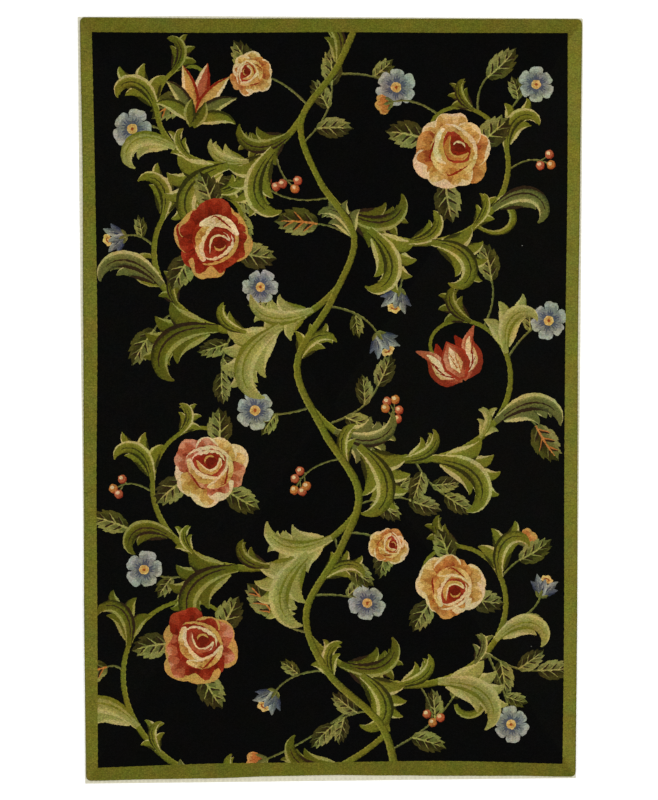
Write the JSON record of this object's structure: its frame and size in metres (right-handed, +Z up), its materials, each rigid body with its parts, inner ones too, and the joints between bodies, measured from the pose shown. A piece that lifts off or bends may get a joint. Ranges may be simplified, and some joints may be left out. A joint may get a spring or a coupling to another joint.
{
  "type": "hooked rug",
  "caption": "Flat rectangular hooked floor rug: a dense looped wool pile with a plain border, hooked through a cut cotton foundation cloth.",
  "frame": {"origin": "middle of the underside, on the surface that the rug lies on", "axes": "+Z up out of the pile; +Y along the rug's length, towards the top of the pattern; +X across its width"},
  "size_m": [1.143, 1.753, 0.0097],
  "materials": {
    "cotton_foundation": "plain woven cotton, matt, cream",
    "wool_pile": "matt hooked wool loops: a black ground and an olive border, with flowers and leaves in greens, reds, golds and blues"
  },
  "bodies": {
    "root": {"foundation": "cotton_foundation", "hooked_pile": "wool_pile"}
  },
  "joints": []
}
